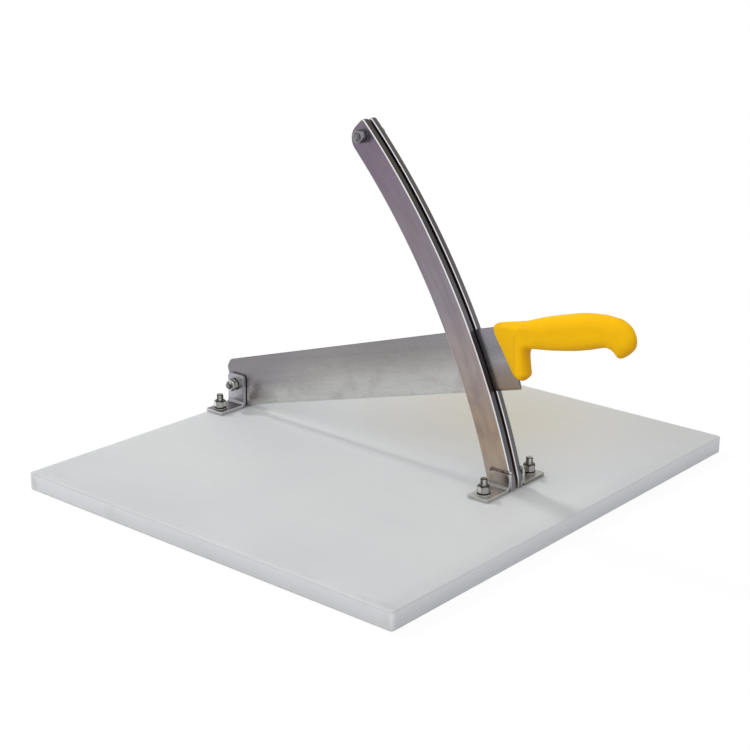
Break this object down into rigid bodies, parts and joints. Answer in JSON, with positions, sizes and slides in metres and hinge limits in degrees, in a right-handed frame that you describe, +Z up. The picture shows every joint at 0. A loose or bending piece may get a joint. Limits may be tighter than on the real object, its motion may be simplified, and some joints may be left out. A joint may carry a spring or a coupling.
{
  "type": "cheese rind cutter",
  "caption": "Tabletop cheese rind cutter: a long hinged knife with a moulded grip swings down between curved steel guide bars onto a thick plastic cutting board.",
  "frame": {"origin": "middle of the board's underside", "axes": "+X from the hinge to the handle, +Y across the board away from the nuts of the hinge and guide bolts, +Z up"},
  "size_m": [0.5591, 0.6, 0.388],
  "materials": {
    "board": "waxy white with light use marks",
    "blade": "satin ground",
    "handle": "satin moulded yellow",
    "steel": "satin, polished edges",
    "weld": "heat-tinted bead",
    "fastener": "bright stainless"
  },
  "bodies": {
    "base": {"cutting_board": "board", "pivot_bolt": "fastener", "pivot_nut": "fastener", "guide_bolt": "fastener", "guide_nut": "fastener", "guide_spacer": "fastener", "hinge_bracket_left": "steel", "hinge_bracket_right": "steel", "pivot_washer_left": "fastener", "pivot_washer_right": "fastener", "pivot_shim_left": "fastener", "pivot_shim_right": "fastener", "guide_bar_left": "steel", "guide_bar_right": "steel", "guide_foot_left": "steel", "guide_foot_right": "steel", "guide_weld_left": "weld", "guide_weld_right": "weld", "guide_washer_left": "fastener", "guide_washer_right": "fastener", "foot_bolt_rear_left": "fastener", "foot_bolt_rear_right": "fastener", "foot_bolt_front_left": "fastener", "foot_bolt_front_right": "fastener", "foot_washer_rear_left": "fastener", "foot_washer_rear_right": "fastener", "foot_washer_front_left": "fastener", "foot_washer_front_right": "fastener", "foot_nut_rear_left": "fastener", "foot_nut_rear_right": "fastener", "foot_nut_front_left": "fastener", "foot_nut_front_right": "fastener", "foot_head_washer_rear_left": "fastener", "foot_head_washer_rear_right": "fastener", "foot_head_washer_front_left": "fastener", "foot_head_washer_front_right": "fastener"},
    "knife": {"blade": "blade", "handle": "handle"}
  },
  "joints": [
    {"name": "knife_pivot", "type": "hinge", "parent": "base", "child": "knife", "pos_m": [-0.2395, 0.0078, 0.0483], "axis": [0, -1, 0], "range_deg": [-15.3, 35.5]}
  ]
}
